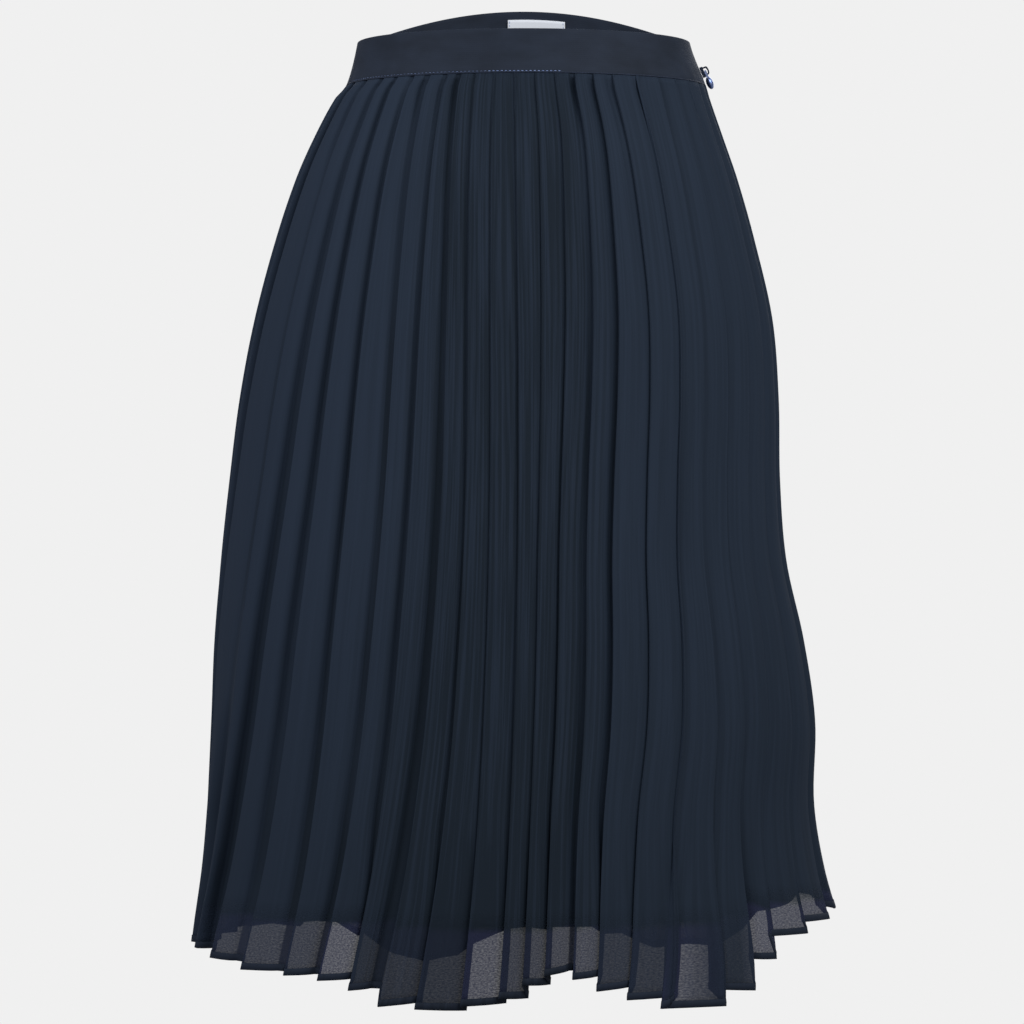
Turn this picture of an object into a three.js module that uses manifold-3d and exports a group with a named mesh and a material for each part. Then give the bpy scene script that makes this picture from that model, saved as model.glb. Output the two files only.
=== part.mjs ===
// Pleated midi skirt in the shape it takes when worn, with nobody in it: a flat waistband, a front and a
// back panel of fan pleats, a plain lining, and a side zip at the wearer's left.
// Millimetres, +Z up. The front faces -Y and the wearer's left is +X. The origin is the middle of the
// waist, at half the height of the front of the waistband, where the wearer holds the skirt.
import * as THREE from "three";
import { mergeVertices } from "three/addons/utils/BufferGeometryUtils.js";
import Module from "manifold-3d";

const wasm = await Module();
wasm.setup();

// Driving dimensions

const BAND_HEIGHT = 35;
const BAND_WALL = 3; // two layers of crepe over an interfacing
const BAND_OPENING = 2.4; // between the band's two ends, at the zip
const BACK_RISE = 37; // the waist sits this much higher at the back than at the front
const BACK_RISE_POWER = 1.7; // how late the rise starts, going round from the side
const CLOTH_WALL = 1.2;
const LINING_WALL = 1;
const SEAM_GAP = 0.3; // between pieces that are sewn together

const BACK_FOLDS = 23; // the front has a row each in FRONT_FOLDS, and each side seam is one more
const LEG_AT_WAIST = 9; // the width of cloth between a fold's edge and the hollow beside it
const LEG_AT_HEM = 22.6;
const LEG_POWER = 0.6; // how early the legs widen on the way down
const DEEPEST_AT_WAIST = 1.6; // how far the hollows may lie inside the folds' edges
const DEEPEST_AT_HEM = 17;
const DEEPEST_POWER = 0.35;
const SHALLOWEST = 1.6;
const FOLD_FLAT = 1.8; // a pressed edge is this wide
const SEAM_FLAT = 13; // plain cloth on each side of a side seam
const HOLLOW_LIFT = 1; // a hollow's hem is this much higher than a fold's
const HOLLOW_LEANS = 0.4; // how far a hollow's hem takes the height of the fold on its outer side

const LINING_LENGTH_SHARE = 0.937; // of the pleated length
const LEVEL_HEM = -716; // the mean height of the pleated hem
const ZIP_SIDE_HEM_RISE = 10; // of the lining
const LINING_CLEAR = 0.6;
const LINING_TUCK = 6; // how far its top runs up behind the band
const LINING_EASE = 9; // further in at its hem than the pleats ask

const TAPE = { width: 24, wall: 1, top: 1 };

const LEFT = -90;
const RIGHT = 90;
const BACK = 180;

const radians = THREE.MathUtils.degToRad;

// The worn outline: how far the folds' edges stand from the middle, at heights below the waist.

const outline = [
  { z: 60, right: 128, left: 128, front: 90, back: 90 },
  { z: 17.5, right: 133, left: 133, front: 94, back: 93 },
  { z: -17.5, right: 146, left: 142, front: 98, back: 100 },
  { z: -28, right: 149, left: 151, front: 102, back: 106 },
  { z: -60, right: 160, left: 168, front: 112, back: 124 },
  { z: -92, right: 171, left: 182, front: 121, back: 141 },
  { z: -140, right: 184.5, left: 198, front: 130, back: 156 },
  { z: -204, right: 199, left: 215, front: 140, back: 165 },
  { z: -268, right: 204, left: 227, front: 148, back: 168 },
  { z: -332, right: 205, left: 235, front: 155, back: 170 },
  { z: -396, right: 210, left: 242, front: 162, back: 173 },
  { z: -460, right: 224, left: 247, front: 168, back: 177 },
  { z: -524, right: 233, left: 249.5, front: 174, back: 182 },
  { z: -588, right: 232, left: 253, front: 181, back: 188 },
  { z: -640, right: 240, left: 257, front: 186, back: 193 },
  { z: -700, right: 256, left: 265, front: 191, back: 198 },
  { z: -760, right: 262, left: 270, front: 196, back: 203 },
];

// The front's pressed folds, from the wearer's right to left: degrees round from the centre front at the
// waist, at the knee (half way down) and at the hem, and the height of the hem there.

const frontFolds = [
  { waist: -76.5, knee: -82, hem: -97, hemZ: -700 },
  { waist: -68.7, knee: -74.5, hem: -88, hemZ: -700 },
  { waist: -59.3, knee: -60.5, hem: -78, hemZ: -701 },
  { waist: -50, knee: -51, hem: -67, hemZ: -705 },
  { waist: -43.5, knee: -43, hem: -55, hemZ: -710 },
  { waist: -36.6, knee: -35, hem: -43.5, hemZ: -711 },
  { waist: -30.5, knee: -26.8, hem: -36, hemZ: -713 },
  { waist: -24.5, knee: -21.5, hem: -29.8, hemZ: -719 },
  { waist: -19.8, knee: -15.4, hem: -24.2, hemZ: -730 },
  { waist: -15, knee: -10.8, hem: -17.8, hemZ: -731 },
  { waist: -9.2, knee: -6.2, hem: -10.2, hemZ: -728 },
  { waist: -2.6, knee: -1, hem: -4, hemZ: -722 },
  { waist: 4.2, knee: 3.2, hem: -0.2, hemZ: -712 },
  { waist: 10.8, knee: 7.8, hem: 3.5, hemZ: -705 },
  { waist: 17.4, knee: 13.6, hem: 8.2, hemZ: -708 },
  { waist: 23.3, knee: 19.2, hem: 12.2, hemZ: -717 },
  { waist: 29.3, knee: 27, hem: 17.4, hemZ: -724 },
  { waist: 37.8, knee: 34.6, hem: 25, hemZ: -729 },
  { waist: 45.8, knee: 41.4, hem: 36, hemZ: -732 },
  { waist: 54.2, knee: 49.2, hem: 42.8, hemZ: -722 },
  { waist: 62.4, knee: 57.8, hem: 49, hemZ: -700 },
  { waist: 70.4, knee: 66.6, hem: 60.5, hemZ: -684 },
  { waist: 78, knee: 76.6, hem: 73.5, hemZ: -677 },
];

const zipSeam = { waist: 90, knee: 89, hem: 87, hemZ: -672 };
const plainSeam = { waist: -90, knee: -93, hem: -106, hemZ: -702 };

// The back's hem, which shows through the front's, by degrees round from the centre front.

const backHem = [
  { degrees: 87, z: -672 },
  { degrees: 105, z: -668 },
  { degrees: 120, z: -670 },
  { degrees: 127, z: -680 },
  { degrees: 130, z: -696 },
  { degrees: 141, z: -722 },
  { degrees: 160, z: -724 },
  { degrees: 172, z: -703 },
  { degrees: 186, z: -719 },
  { degrees: 192, z: -735 },
  { degrees: 201, z: -742 },
  { degrees: 209, z: -716 },
  { degrees: 217, z: -701 },
  { degrees: 254, z: -699 },
];

function backHemZ(degrees) {
  const i = Math.max(1, backHem.findIndex((row) => row.degrees >= degrees));
  const before = backHem[i - 1];
  const after = backHem[i];
  return THREE.MathUtils.mapLinear(degrees, before.degrees, after.degrees, before.z, after.z);
}

// The back's folds repeat the front's kind of unevenness, as two slow waves in their spacing.

const BACK_SPACING_WAVE = 1.1;
const plainSeamFromBack = { ...plainSeam };
for (const place of ["waist", "knee", "hem"]) plainSeamFromBack[place] += 360;

function backFolds() {
  const folds = [];
  for (let i = 1; i <= BACK_FOLDS; i++) {
    const share = (i + 0.15) / (BACK_FOLDS + 1.3);
    const wave = BACK_SPACING_WAVE * Math.sin(share * 4 * Math.PI + 1);
    const between = (place) => THREE.MathUtils.lerp(zipSeam[place], plainSeamFromBack[place], share);
    const hem = between("hem") + 1.6 * wave;
    folds.push({
      waist: between("waist") + wave,
      knee: between("knee") + 1.3 * wave,
      hem,
      hemZ: backHemZ(hem),
    });
  }
  return folds;
}

// A smooth value from a table's column, between rows that are keyed by z from high to low.
function fromOutline(column, z) {
  const last = outline.length - 1;
  let i = outline.findIndex((row) => row.z <= z) - 1;
  if (i < 0) i = z > outline[0].z ? 0 : last - 1;
  const row = (k) => outline[THREE.MathUtils.clamp(k, 0, last)];
  const span = row(i).z - row(i + 1).z;
  const t = THREE.MathUtils.clamp((row(i).z - z) / span, 0, 1);
  const slope = (k) => {
    const reach = row(k - 1).z - row(k + 1).z;
    return (row(k + 1)[column] - row(k - 1)[column]) / reach;
  };
  const a = row(i)[column];
  const b = row(i + 1)[column];
  const h = t * t * (3 - 2 * t);
  const start = (t - 2 * t * t + t * t * t) * span * slope(i);
  const end = (t * t * t - t * t) * span * slope(i + 1);
  return a + (b - a) * h + start + end;
}

// The point of the worn outline at an angle round from the centre front, and the way out from it.
function ringPoint(degrees, z) {
  const a = radians(degrees);
  const side = fromOutline(Math.sin(a) > 0 ? "right" : "left", z);
  const depth = fromOutline(Math.cos(a) > 0 ? "front" : "back", z);
  const x = side * Math.sin(a);
  const y = -depth * Math.cos(a);
  const out = new THREE.Vector2(x / side ** 2, y / depth ** 2).normalize();
  return { x, y, out };
}

// Degrees that an arc of this many millimetres spans at a place on the outline.
function degreesOf(arc, degrees, z) {
  const a = ringPoint(degrees - 0.5, z);
  const b = ringPoint(degrees + 0.5, z);
  return arc / Math.hypot(b.x - a.x, b.y - a.y);
}

const waistRise = (degrees) => BACK_RISE * Math.max(0, -Math.cos(radians(degrees))) ** BACK_RISE_POWER;
const bandTop = (degrees) => BAND_HEIGHT / 2 + waistRise(degrees);
const bandFoot = (degrees) => -BAND_HEIGHT / 2 + waistRise(degrees);

// Walls: rows of section points, offset to each side of their middle line and closed round the rim.

function sideways(points, i) {
  const before = points[Math.max(i - 1, 0)];
  const after = points[Math.min(i + 1, points.length - 1)];
  const here = points[i];
  const a = new THREE.Vector2(here.x - before.x, here.y - before.y);
  const b = new THREE.Vector2(after.x - here.x, after.y - here.y);
  if (a.lengthSq() === 0) a.copy(b);
  if (b.lengthSq() === 0) b.copy(a);
  a.normalize();
  b.normalize();
  const along = a.clone().add(b).normalize();
  return new THREE.Vector2(along.y, -along.x).divideScalar(along.dot(a));
}

// rows go from the top down and their points anticlockwise seen from above, so out is on their right.
function wall(rows, thickness) {
  const count = rows[0].length;
  const positions = [];
  for (const sign of [1, -1])
    for (const row of rows)
      row.forEach((p, i) => {
        const n = sideways(row, i).multiplyScalar((sign * thickness) / 2);
        positions.push(p.x + n.x, p.y + n.y, p.z);
      });
  const at = (side, r, c) => (side * rows.length + r) * count + c;
  const index = [];
  const quad = (a, b, c, d) => index.push(a, b, c, a, c, d);
  const last = rows.length - 1;
  for (let r = 0; r < last; r++) {
    for (let c = 0; c < count - 1; c++) {
      quad(at(0, r, c), at(0, r + 1, c), at(0, r + 1, c + 1), at(0, r, c + 1));
      quad(at(1, r, c), at(1, r, c + 1), at(1, r + 1, c + 1), at(1, r + 1, c));
    }
    quad(at(0, r, 0), at(1, r, 0), at(1, r + 1, 0), at(0, r + 1, 0));
    quad(at(0, r, count - 1), at(0, r + 1, count - 1), at(1, r + 1, count - 1), at(1, r, count - 1));
  }
  for (let c = 0; c < count - 1; c++) {
    quad(at(0, 0, c), at(0, 0, c + 1), at(1, 0, c + 1), at(1, 0, c));
    quad(at(0, last, c), at(1, last, c), at(1, last, c + 1), at(0, last, c + 1));
  }
  const geometry = new THREE.BufferGeometry();
  geometry.setAttribute("position", new THREE.Float32BufferAttribute(positions, 3));
  geometry.setIndex(index);
  return geometry;
}

// Pleated panels

// Where a fold is at a share of the way down, 0 at the waist seam and 1 at the hem: a curve through the
// fold's three places.
function foldAt({ waist, knee, hem, hemZ }, share) {
  const square = share ** 2;
  const atWaist = 2 * square - 3 * share + 1;
  const atKnee = 4 * (share - square);
  const atHem = 2 * square - share;
  const degrees = waist * atWaist + knee * atKnee + hem * atHem;
  return { degrees, z: THREE.MathUtils.lerp(bandFoot(waist) - SEAM_GAP, hemZ, share) };
}

// A pressed edge, as two points on the outline, or the plain cloth beside a seam.
function edgePoints(fold, share, from, to) {
  const middle = foldAt(fold, share);
  return [from, to].map((arc) => {
    const turn = degreesOf(arc, middle.degrees, middle.z);
    const z = middle.z + (waistRise(fold.waist + turn) - waistRise(fold.waist)) * (1 - share);
    const p = ringPoint(middle.degrees + turn, z);
    return { x: p.x - (p.out.x * CLOTH_WALL) / 2, y: p.y - (p.out.y * CLOTH_WALL) / 2, z };
  });
}

const deepestAt = (share) => THREE.MathUtils.lerp(DEEPEST_AT_WAIST, DEEPEST_AT_HEM, share ** DEEPEST_POWER);

// The hollow between two pressed edges: as deep as the cloth between them allows.
function hollowPoints(before, after, degrees, share) {
  const leg = THREE.MathUtils.lerp(LEG_AT_WAIST, LEG_AT_HEM, share ** LEG_POWER);
  const span = Math.hypot(after.x - before.x, after.y - before.y);
  const run = (span - FOLD_FLAT) / 2;
  const fits = Math.sqrt(Math.max(leg ** 2 - run ** 2, SHALLOWEST ** 2));
  const depth = Math.min(fits, deepestAt(share));
  const out = ringPoint(degrees, before.z).out;
  const half = FOLD_FLAT / 2 / span;
  const outerSide = THREE.MathUtils.clamp(2.5 * Math.sin(radians(degrees)), -1, 1);
  const hemSide = 0.5 + HOLLOW_LEANS * outerSide * Math.sign(Math.cos(radians(degrees)));
  return [0.5 - half, 0.5 + half].map((t) => {
    const height = THREE.MathUtils.lerp(t, hemSide, share);
    return {
      x: THREE.MathUtils.lerp(before.x, after.x, t) - out.x * depth,
      y: THREE.MathUtils.lerp(before.y, after.y, t) - out.y * depth,
      z: THREE.MathUtils.lerp(before.z, after.z, height) + HOLLOW_LIFT * share,
    };
  });
}

// One section of a panel, from its first seam through its folds to its last seam.
function panelSection(firstSeam, folds, lastSeam, share) {
  const half = FOLD_FLAT / 2;
  const stops = [
    { fold: firstSeam, points: edgePoints(firstSeam, share, SEAM_GAP / 2, SEAM_FLAT) },
    ...folds.map((fold) => ({ fold, points: edgePoints(fold, share, -half, half) })),
    { fold: lastSeam, points: edgePoints(lastSeam, share, -SEAM_FLAT, -SEAM_GAP / 2) },
  ];
  const section = [...stops[0].points];
  for (let i = 1; i < stops.length; i++) {
    const before = stops[i - 1].points[1];
    const after = stops[i].points[0];
    const degrees = (foldAt(stops[i - 1].fold, share).degrees + foldAt(stops[i].fold, share).degrees) / 2;
    section.push(...hollowPoints(before, after, degrees, share), ...stops[i].points);
  }
  return section;
}

const PANEL_SHARES = [0, 0.03, 0.08, 0.15, 0.24, 0.34, 0.45, 0.56, 0.67, 0.78, 0.89, 1];

function panel(firstSeam, folds, lastSeam) {
  return wall(
    PANEL_SHARES.map((share) => panelSection(firstSeam, folds, lastSeam, share)),
    CLOTH_WALL,
  );
}

// Smooth pieces: strips that follow the outline, moved in from it.

function strip({ from, to, steps, levels, inset, height }) {
  return levels.map((share) => {
    const row = [];
    for (let i = 0; i <= steps; i++) {
      const degrees = THREE.MathUtils.lerp(from(share), to(share), i / steps);
      const z = height(degrees, share);
      const p = ringPoint(degrees, z);
      const deep = inset(degrees, share, z);
      row.push({ x: p.x - p.out.x * deep, y: p.y - p.out.y * deep, z });
    }
    return row;
  });
}

function waistband() {
  const half = BAND_OPENING / 2;
  const rows = strip({
    from: () => RIGHT - 360 + degreesOf(half, RIGHT, 0),
    to: () => RIGHT - degreesOf(half, RIGHT, 0),
    steps: 72,
    levels: [0, 0.5, 1],
    inset: () => BAND_WALL / 2,
    height: (degrees, share) => THREE.MathUtils.lerp(bandTop(degrees), bandFoot(degrees), share),
  });
  return wall(rows, BAND_WALL);
}

// The lining hangs inside the hollows. Its top is sewn in behind the band, and along the zip its edges
// stand back from the tape.
const TUCKED = -0.001; // a level above the seam
const LINING_LEVELS = [TUCKED, 0, 0.03, 0.08, 0.15, 0.24, 0.27, 0.45, 0.67, LINING_LENGTH_SHARE];
const ZIP_END_SHARE = 0.25;

function liningInset(share) {
  const ease = LINING_CLEAR + LINING_EASE * share;
  if (share <= 0) return BAND_WALL + SEAM_GAP + LINING_WALL / 2;
  return CLOTH_WALL + deepestAt(share) + ease + LINING_WALL / 2;
}

function liningHeight(degrees, share) {
  const foot = bandFoot(degrees);
  if (share === TUCKED) return foot + LINING_TUCK;
  const zipSide = ZIP_SIDE_HEM_RISE * Math.max(0, Math.sin(radians(degrees))) ** 3;
  return THREE.MathUtils.lerp(foot - SEAM_GAP, LEVEL_HEM + zipSide, share);
}

// How far a lining's edge stands back from the middle of a side seam.
const standBack = (side, share) =>
  (side === RIGHT && share < ZIP_END_SHARE ? TAPE.width / 2 + 2 * SEAM_GAP : SEAM_GAP / 2);

function lining(from, to) {
  const edge = (side, share) => degreesOf(standBack(side, share), side, liningHeight(side, share));
  const rows = strip({
    from: (share) => from + edge(from, share),
    to: (share) => to - edge(to, share),
    steps: 36,
    levels: LINING_LEVELS,
    inset: (_, share) => liningInset(share),
    height: liningHeight,
  });
  return wall(rows, LINING_WALL);
}

const LABEL = { width: 48, height: 18, wall: 1, belowTop: 7, degrees: 175 };

function label() {
  const reach = degreesOf(LABEL.width / 2, LABEL.degrees, bandTop(LABEL.degrees));
  const rows = strip({
    from: () => LABEL.degrees - reach,
    to: () => LABEL.degrees + reach,
    steps: 8,
    levels: [0, 1],
    inset: () => BAND_WALL + SEAM_GAP + LABEL.wall / 2,
    height: (degrees, share) => bandTop(degrees) - LABEL.belowTop - LABEL.height * share,
  });
  return wall(rows, LABEL.wall);
}

// The side zip: a tape behind the seam, a slider over the band's opening, and a pull on its bridge.

const SLIDER = { z: -6.5, height: 9, topWidth: 7, footWidth: 5.4, thick: 2.4 };
const BRIDGE = { length: 7, rise: 4.2, wire: 1.2, width: 1.6, sunk: 0.2 };
const PULL = { width: 5, thick: 1.6, neck: 6.5, bar: 1, eye: 4.6, eyeWidth: 3 };
const DROP = { below: 10.1, length: 10.6, width: 7.6, thick: 5.6 }; // the pull's thick end

const TAPE_SHARES = [0, 0.03, 0.08, 0.15, 0.24];

// The tape follows the plain cloth beside the seam, and its top runs up behind the band.
function zipTape() {
  const behindBand = BAND_WALL + 2 * SEAM_GAP + TAPE.wall / 2;
  const behindCloth = CLOTH_WALL + SEAM_GAP + TAPE.wall / 2;
  const levels = TAPE_SHARES.map((share) => {
    const inset = share > 0 ? behindCloth : behindBand;
    return { ...foldAt(zipSeam, share), inset };
  });
  levels.unshift({ ...levels[0], z: TAPE.top });
  const rows = levels.map(({ degrees, z, inset }) =>
    [-0.5, 0, 0.5].map((side) => {
      const p = ringPoint(degrees + degreesOf(side * TAPE.width, degrees, z), z);
      return { x: p.x - p.out.x * inset, y: p.y - p.out.y * inset, z };
    }),
  );
  return wall(rows, TAPE.wall);
}

function solidOf(geometry) {
  const bare = geometry.index ? geometry.toNonIndexed() : geometry.clone();
  bare.deleteAttribute("normal");
  bare.deleteAttribute("uv");
  const merged = mergeVertices(bare, 1e-3);
  return new wasm.Manifold(
    new wasm.Mesh({
      numProp: 3,
      vertProperties: merged.attributes.position.array,
      triVerts: new Uint32Array(merged.index.array),
    }),
  );
}

function geometryOf(solid) {
  const mesh = solid.getMesh();
  const geometry = new THREE.BufferGeometry();
  geometry.setAttribute("position", new THREE.BufferAttribute(mesh.vertProperties, 3));
  geometry.setIndex(new THREE.BufferAttribute(mesh.triVerts, 1));
  return geometry;
}

// An outline in a local frame's Y and Z, given depth along its X from where it starts.
function plateFacingX(shape, start, depth) {
  const geometry = new THREE.ExtrudeGeometry(shape, { depth, bevelEnabled: false, curveSegments: 5 });
  geometry.applyMatrix4(new THREE.Matrix4().makeBasis(
    new THREE.Vector3(0, 1, 0),
    new THREE.Vector3(0, 0, 1),
    new THREE.Vector3(1, 0, 0),
  ));
  return geometry.translate(start, 0, 0);
}

// In the slider's frame X points out of the band, Y runs along it and Z up it.
function sliderBody() {
  const top = SLIDER.height / 2;
  const wide = SLIDER.topWidth / 2;
  const narrow = SLIDER.footWidth / 2;
  const shape = new THREE.Shape();
  shape.moveTo(-narrow, -top);
  shape.lineTo(narrow, -top);
  shape.quadraticCurveTo(wide, -top / 3, wide, top / 2);
  shape.quadraticCurveTo(wide, top, 0, top);
  shape.quadraticCurveTo(-wide, top, -wide, top / 2);
  shape.quadraticCurveTo(-wide, -top / 3, -narrow, -top);
  return plateFacingX(shape, SEAM_GAP, SLIDER.thick);
}

// The bridge is an arch seen from the side, so its outline lies in X and Z.
function sliderBridge() {
  const foot = SEAM_GAP + SLIDER.thick;
  const crown = foot + BRIDGE.rise;
  const springs = foot + BRIDGE.rise * 0.6; // the arch's ends are straight up to here
  const half = BRIDGE.length / 2;
  const shape = new THREE.Shape();
  shape.moveTo(foot - BRIDGE.sunk, -half);
  shape.lineTo(springs, -half);
  shape.quadraticCurveTo(crown, -half, crown, 0);
  shape.quadraticCurveTo(crown, half, springs, half);
  shape.lineTo(foot - BRIDGE.sunk, half);
  const hole = new THREE.Path();
  const inner = half - BRIDGE.wire;
  const innerSprings = foot + BRIDGE.rise * 0.45;
  const innerCrown = crown - BRIDGE.wire;
  hole.moveTo(foot, -inner);
  hole.lineTo(foot, inner);
  hole.lineTo(innerSprings, inner);
  hole.quadraticCurveTo(innerCrown, inner, innerCrown, 0);
  hole.quadraticCurveTo(innerCrown, -inner, innerSprings, -inner);
  shape.holes.push(hole);
  const geometry = new THREE.ExtrudeGeometry(shape, {
    depth: BRIDGE.width,
    bevelEnabled: false,
    curveSegments: 5,
  });
  geometry.applyMatrix4(new THREE.Matrix4().makeBasis(
    new THREE.Vector3(1, 0, 0),
    new THREE.Vector3(0, 0, 1),
    new THREE.Vector3(0, -1, 0),
  ));
  return geometry.translate(0, BRIDGE.width / 2, 0);
}

const zipSlider = () => geometryOf(solidOf(sliderBody()).add(solidOf(sliderBridge())));

// The pull hangs by a bar under the bridge, which passes through the pull's eye. Its end is a plump drop.
const PULL_AXIS_X = SEAM_GAP + SLIDER.thick + SEAM_GAP + PULL.thick / 2;

function zipPull() {
  const half = PULL.width / 2;
  const barTop = PULL.bar / 2;
  const shape = new THREE.Shape();
  shape.moveTo(-half, barTop);
  shape.lineTo(-half, -PULL.neck);
  shape.lineTo(half, -PULL.neck);
  shape.lineTo(half, barTop);
  const eye = new THREE.Path();
  eye.moveTo(-PULL.eyeWidth / 2, -barTop);
  eye.lineTo(-PULL.eyeWidth / 2, -PULL.eye);
  eye.lineTo(PULL.eyeWidth / 2, -PULL.eye);
  eye.lineTo(PULL.eyeWidth / 2, -barTop);
  shape.holes.push(eye);
  const tab = plateFacingX(shape, PULL_AXIS_X - PULL.thick / 2, PULL.thick);
  const drop = new THREE.SphereGeometry(0.5, 24, 16);
  drop.scale(DROP.thick, DROP.width, DROP.length);
  drop.translate(PULL_AXIS_X, 0, -DROP.below);
  return geometryOf(solidOf(tab).add(solidOf(drop)));
}

// The hook and the eye that close the top of the band, sewn flat inside it.

const HOOK = { z: 9, thick: 0.9, length: 12, width: 7, bow: 2.5, neck: 5 };
const TONGUE = { width: 2.6, reach: 2.4, tip: 1.4 };
const EYE = { thick: 0.9, start: 1.2, length: 9, width: 8, wire: 1.6, straight: 2, corner: 0.6 };

// A sewn-on plate that narrows to a tongue, which reaches over the band's opening.
function hookPlate() {
  const half = HOOK.width / 2;
  const tongue = TONGUE.width / 2;
  const shape = new THREE.Shape();
  shape.moveTo(-HOOK.length, -half);
  shape.quadraticCurveTo(-HOOK.length - HOOK.bow, 0, -HOOK.length, half);
  shape.lineTo(-HOOK.neck, tongue);
  shape.lineTo(TONGUE.reach, tongue);
  shape.quadraticCurveTo(TONGUE.reach + TONGUE.tip, 0, TONGUE.reach, -tongue);
  shape.lineTo(-HOOK.neck, -tongue);
  return shape;
}

function eyePlate() {
  const half = EYE.width / 2;
  const straight = half - EYE.straight;
  const shape = new THREE.Shape();
  shape.moveTo(EYE.start, -straight);
  shape.lineTo(EYE.start, straight);
  shape.quadraticCurveTo(EYE.start, half, EYE.length, half);
  shape.lineTo(EYE.length, -half);
  shape.quadraticCurveTo(EYE.start, -half, EYE.start, -straight);
  const near = EYE.start + EYE.wire;
  const far = EYE.length - EYE.wire;
  const nearHalf = straight - EYE.corner;
  const farHalf = half - EYE.wire;
  const hole = new THREE.Path();
  hole.moveTo(near, -nearHalf);
  hole.lineTo(far, -farHalf);
  hole.lineTo(far, farHalf);
  hole.lineTo(near, nearHalf);
  shape.holes.push(hole);
  return shape;
}

// Colours and finishes

const crepe = new THREE.MeshStandardMaterial({ color: 0x262d3a, roughness: 0.85, metalness: 0 });
const sheer = new THREE.MeshStandardMaterial({ color: 0x232b39, roughness: 0.9, metalness: 0 });
const satin = new THREE.MeshStandardMaterial({ color: 0x1b222e, roughness: 0.6, metalness: 0 });
const woven = new THREE.MeshStandardMaterial({ color: 0xe4e8ee, roughness: 0.7, metalness: 0 });
const nickel = new THREE.MeshStandardMaterial({ color: 0xb9bfc8, roughness: 0.25, metalness: 1 });
const enamel = new THREE.MeshStandardMaterial({ color: 0x1d2740, roughness: 0.25, metalness: 0.2 });

function piece(name, geometry, material) {
  const mesh = new THREE.Mesh(geometry, material);
  mesh.name = name;
  return mesh;
}

const skirt = new THREE.Group();
skirt.add(
  piece("waistband", waistband(), crepe),
  piece("front_panel", panel(plainSeam, frontFolds, zipSeam), sheer),
  piece("back_panel", panel(zipSeam, backFolds(), plainSeamFromBack), sheer),
  piece("lining_front", lining(LEFT, RIGHT), satin),
  piece("lining_back", lining(RIGHT, BACK + 90), satin),
  piece("label", label(), woven),
  piece("zip_tape", zipTape(), crepe),
);

// A frame on the outer face of the band at the zip, leaning with it.
const LEAN_REACH = 8;

function bandFrame(z, inset) {
  const below = fromOutline("right", z - LEAN_REACH);
  const above = fromOutline("right", z + LEAN_REACH);
  const frame = new THREE.Group();
  frame.position.set(fromOutline("right", z) - inset, 0, z);
  frame.rotation.y = -Math.atan2(below - above, 2 * LEAN_REACH);
  return frame;
}

const closure = bandFrame(SLIDER.z, 0);
closure.add(piece("zip_slider", zipSlider(), nickel), piece("zip_pull", zipPull(), enamel));

const fastener = bandFrame(HOOK.z, BAND_WALL + SEAM_GAP);
fastener.add(
  piece("band_eye", plateFacingX(eyePlate(), -EYE.thick, EYE.thick), nickel),
  piece("band_hook", plateFacingX(hookPlate(), -EYE.thick - SEAM_GAP - HOOK.thick, HOOK.thick), nickel),
);
skirt.add(closure, fastener);

export default skirt;
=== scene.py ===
# A pleated midi skirt as it hangs when worn, with nobody in it: fan-pleated sheer chiffon over a plain
# lining, a flat crepe waistband, a bare woven label, and a side zip with a hook and an eye.
# The front faces -Y, the wearer's left is +X, and the origin is the middle of the waist.
import math
import random

import bmesh
import bpy
from mathutils import Matrix, Vector


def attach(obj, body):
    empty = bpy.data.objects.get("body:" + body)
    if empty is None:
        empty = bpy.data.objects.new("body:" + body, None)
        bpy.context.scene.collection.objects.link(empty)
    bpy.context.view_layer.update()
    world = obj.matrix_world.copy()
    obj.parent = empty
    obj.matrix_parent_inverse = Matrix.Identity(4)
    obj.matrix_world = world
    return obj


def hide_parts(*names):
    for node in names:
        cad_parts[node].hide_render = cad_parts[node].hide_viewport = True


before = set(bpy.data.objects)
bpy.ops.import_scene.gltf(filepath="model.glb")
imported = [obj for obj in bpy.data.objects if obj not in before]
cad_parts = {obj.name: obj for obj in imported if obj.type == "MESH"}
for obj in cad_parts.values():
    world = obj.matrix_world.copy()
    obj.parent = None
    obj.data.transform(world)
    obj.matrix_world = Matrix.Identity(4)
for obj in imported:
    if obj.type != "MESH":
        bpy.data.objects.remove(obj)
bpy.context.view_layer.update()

MM = 0.001
random.seed(48)

# Camera: level, at the photograph's middle height, three metres in front of the skirt

CAMERA = Vector((-9.2, -3000, -357.7)) * MM
SENSOR_MM = 36
PIXELS_ACROSS = 1024
PIXEL_MM = 0.8  # of the photograph, at the skirt's middle
VIEW_WIDTH_MM = PIXELS_ACROSS * PIXEL_MM


def place_camera():
    lens = bpy.data.cameras.new("camera")
    lens.sensor_width = SENSOR_MM
    lens.lens = SENSOR_MM * -CAMERA.y / (VIEW_WIDTH_MM * MM)
    camera = bpy.data.objects.new("camera", lens)
    camera.location = CAMERA
    camera.rotation_euler = (math.radians(90), 0, 0)
    bpy.context.scene.collection.objects.link(camera)
    bpy.context.scene.camera = camera


place_camera()

# Driving dimensions, in millimetres

BAND_HEIGHT = 35
BAND_WALL = 3
BAND_OPENING = 2.4
BACK_RISE = 37
BACK_RISE_POWER = 1.7
CLOTH = 0.5
CAD_CLOTH = 1.2
SEAM_GAP = 0.3
SEWN = 0.04  # between the middle of a side seam and the cloth on each side

BACK_FOLDS = 23
LEG_AT_WAIST = 9
LEG_AT_HEM = 22.6
LEG_POWER = 0.6
DEEPEST_AT_WAIST = 1.6
DEEPEST_AT_HEM = 17
DEEPEST_POWER = 0.35
SHALLOWEST = 1.6
FOLD_FLAT = 0.9
SEAM_FLAT = 13
HOLLOW_LIFT = 1
HOLLOW_LEANS = 0.4

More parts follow.
